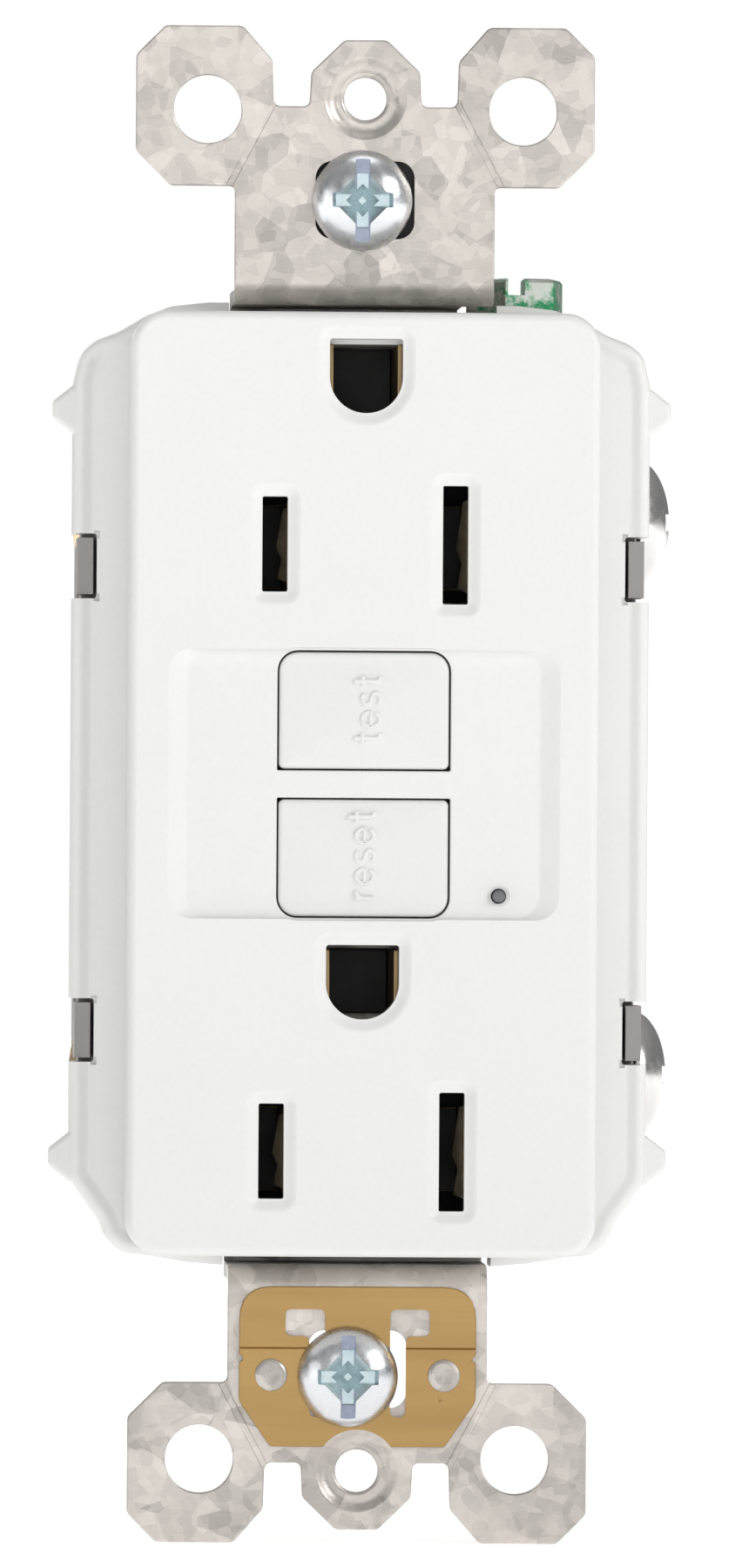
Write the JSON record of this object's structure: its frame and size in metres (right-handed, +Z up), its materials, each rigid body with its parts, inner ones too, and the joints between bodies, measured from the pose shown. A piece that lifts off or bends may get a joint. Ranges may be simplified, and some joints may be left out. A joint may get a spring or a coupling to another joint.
{
  "type": "gfci outlet",
  "caption": "Ground-fault duplex receptacle with test and reset buttons, a galvanised mounting strap, side terminal screws and a snap-fit front cover.",
  "frame": {"origin": "centre of the device on the back plane of the strap ears, where it seats on the wall or box", "axes": "+Z up along the strap, -Y out of the face towards the user, +X to the right as seen from the front"},
  "size_m": [0.0443, 0.0325, 0.107],
  "materials": {
    "cover_plastic": "satin moulded thermoplastic",
    "body_plastic": "satin grey moulded thermoplastic",
    "inner_plastic": "dark moulded thermoplastic",
    "strap_steel": "hot-dip galvanised, spangled",
    "clip_brass": "brushed sheet",
    "contact_brass": "stamped sheet",
    "contact_copper": "copper alloy",
    "screw_steel": "zinc plated, bright",
    "screw_brass": "yellow plated",
    "screw_green": "green dyed plating, worn at the edges",
    "spring_steel": "drawn wire",
    "board_laminate": "solder-masked laminate",
    "component_blue": "dipped coating",
    "clear_plastic": "smoky clear moulding"
  },
  "bodies": {
    "housing": {"front_cover": "cover_plastic", "solenoid_bobbin": "cover_plastic", "back_body": "body_plastic", "fault_sensor_core": "body_plastic", "neutral_sensor_core": "body_plastic", "middle_separator": "inner_plastic", "upper_screw_retainer": "inner_plastic", "sensor_case": "inner_plastic", "control_chip": "inner_plastic", "thyristor": "inner_plastic", "mounting_strap": "strap_steel", "clip_rivet_left": "strap_steel", "clip_rivet_right": "strap_steel", "solenoid_frame": "strap_steel", "self_ground_clip": "clip_brass", "upper_ground_contact": "contact_brass", "lower_ground_contact": "contact_brass", "hot_face_contacts": "contact_brass", "neutral_face_contacts": "contact_brass", "hot_line_bar": "contact_brass", "neutral_line_bar": "contact_brass", "upper_hot_terminal_plate": "contact_brass", "upper_neutral_terminal_plate": "contact_brass", "lower_hot_terminal_plate": "contact_brass", "lower_neutral_terminal_plate": "contact_brass", "test_contact": "contact_copper", "solenoid_winding": "contact_copper", "test_spring": "spring_steel", "reset_spring": "spring_steel", "circuit_board": "board_laminate", "surge_absorber": "component_blue", "filter_capacitor": "component_blue", "light_pipe": "clear_plastic", "indicator_lamp": "clear_plastic"},
    "test_button": {"test_button": "cover_plastic"},
    "reset_button": {"reset_button": "cover_plastic", "reset_pin": "screw_steel"},
    "latch_block": {"latch_block": "inner_plastic", "latch_spring": "spring_steel"},
    "latch_plate": {"latch_plate": "strap_steel"},
    "plunger": {"solenoid_plunger": "screw_steel"},
    "hot_contact_arm": {"hot_contact_arm": "contact_copper"},
    "neutral_contact_arm": {"neutral_contact_arm": "contact_copper"},
    "ground_screw": {"ground_screw": "screw_green"},
    "upper_mounting_screw": {"upper_mounting_screw": "screw_steel"},
    "lower_mounting_screw": {"lower_mounting_screw": "screw_steel"},
    "upper_hot_clamp": {"upper_hot_clamp_plate": "screw_brass"},
    "upper_hot_screw": {"upper_hot_screw": "screw_brass"},
    "upper_neutral_clamp": {"upper_neutral_clamp_plate": "screw_steel"},
    "upper_neutral_screw": {"upper_neutral_screw": "screw_steel"},
    "lower_hot_clamp": {"lower_hot_clamp_plate": "screw_brass"},
    "lower_hot_screw": {"lower_hot_screw": "screw_brass"},
    "lower_neutral_clamp": {"lower_neutral_clamp_plate": "screw_steel"},
    "lower_neutral_screw": {"lower_neutral_screw": "screw_steel"}
  },
  "joints": [
    {"name": "test_press", "type": "slide", "parent": "housing", "child": "test_button", "axis": [0, 1, 0], "range_m": [0, 0.0018], "stiffness_N_per_m": 800, "springref_m": -0.002, "deforming": ["test_spring"]},
    {"name": "reset_press", "type": "slide", "parent": "housing", "child": "reset_button", "axis": [0, 1, 0], "range_m": [0, 0.0025], "stiffness_N_per_m": 800, "springref_m": -0.002, "deforming": ["reset_spring"]},
    {"name": "plunger_push", "type": "slide", "parent": "housing", "child": "plunger", "axis": [0, 0, -1], "range_m": [0, 0.0012], "stiffness_N_per_m": 150, "springref_m": -0.001},
    {"name": "block_drop", "type": "slide", "parent": "housing", "child": "latch_block", "axis": [0, 1, 0], "range_m": [0, 0.0018]},
    {"name": "latch_plate_slide", "type": "slide", "parent": "latch_block", "child": "latch_plate", "axis": [0, 0, -1], "range_m": [0, 0.0012], "deforming": ["latch_spring"]},
    {"name": "hot_arm_swing", "type": "hinge", "parent": "housing", "child": "hot_contact_arm", "pos_m": [-0.0095, 0.0159, 0.012], "axis": [1, 0, 0], "range_deg": [0, 6]},
    {"name": "neutral_arm_swing", "type": "hinge", "parent": "housing", "child": "neutral_contact_arm", "pos_m": [0.0095, 0.0159, 0.012], "axis": [1, 0, 0], "range_deg": [0, 6]},
    {"name": "upper_hot_clamp_slide", "type": "slide", "parent": "housing", "child": "upper_hot_clamp", "axis": [-1, 0, 0], "range_m": [0, 0.0022]},
    {"name": "upper_hot_screw_turn", "type": "hinge", "parent": "upper_hot_clamp", "child": "upper_hot_screw", "pos_m": [-0.0179, 0.0135, 0.0189], "axis": [-1, 0, 0], "range_deg": [0, 990]},
    {"name": "upper_neutral_clamp_slide", "type": "slide", "parent": "housing", "child": "upper_neutral_clamp", "axis": [1, 0, 0], "range_m": [-0.0022, 0]},
    {"name": "upper_neutral_screw_turn", "type": "hinge", "parent": "upper_neutral_clamp", "child": "upper_neutral_screw", "pos_m": [0.0179, 0.0135, 0.0189], "axis": [1, 0, 0], "range_deg": [-990, 0]},
    {"name": "lower_hot_clamp_slide", "type": "slide", "parent": "housing", "child": "lower_hot_clamp", "axis": [-1, 0, 0], "range_m": [0, 0.0022]},
    {"name": "lower_hot_screw_turn", "type": "hinge", "parent": "lower_hot_clamp", "child": "lower_hot_screw", "pos_m": [-0.0179, 0.0135, -0.0205], "axis": [-1, 0, 0], "range_deg": [0, 990]},
    {"name": "lower_neutral_clamp_slide", "type": "slide", "parent": "housing", "child": "lower_neutral_clamp", "axis": [1, 0, 0], "range_m": [-0.0022, 0]},
    {"name": "lower_neutral_screw_turn", "type": "hinge", "parent": "lower_neutral_clamp", "child": "lower_neutral_screw", "pos_m": [0.0179, 0.0135, -0.0205], "axis": [1, 0, 0], "range_deg": [-990, 0]},
    {"name": "ground_screw_turn", "type": "hinge", "parent": "housing", "child": "ground_screw", "pos_m": [0.0109, 0.0055, 0.0346], "axis": [0, 0, 1], "continuous": true},
    {"name": "upper_mounting_screw_turn", "type": "hinge", "parent": "housing", "child": "upper_mounting_screw", "pos_m": [-0.0002, 0, 0.0412], "axis": [0, -1, 0], "continuous": true},
    {"name": "lower_mounting_screw_turn", "type": "hinge", "parent": "housing", "child": "lower_mounting_screw", "pos_m": [-0.0007, 0, -0.04175], "axis": [0, -1, 0], "continuous": true}
  ],
  "couplings": [
    {"joint": "latch_plate_slide", "follows": "plunger_push", "ratio": 1},
    {"joint": "hot_arm_swing", "follows": "block_drop", "rad_per_m": 58},
    {"joint": "neutral_arm_swing", "follows": "block_drop", "rad_per_m": 58},
    {"joint": "upper_hot_screw_turn", "follows": "upper_hot_clamp_slide", "rad_per_m": 7854},
    {"joint": "upper_neutral_screw_turn", "follows": "upper_neutral_clamp_slide", "rad_per_m": 7854},
    {"joint": "lower_hot_screw_turn", "follows": "lower_hot_clamp_slide", "rad_per_m": 7854},
    {"joint": "lower_neutral_screw_turn", "follows": "lower_neutral_clamp_slide", "rad_per_m": 7854}
  ]
}
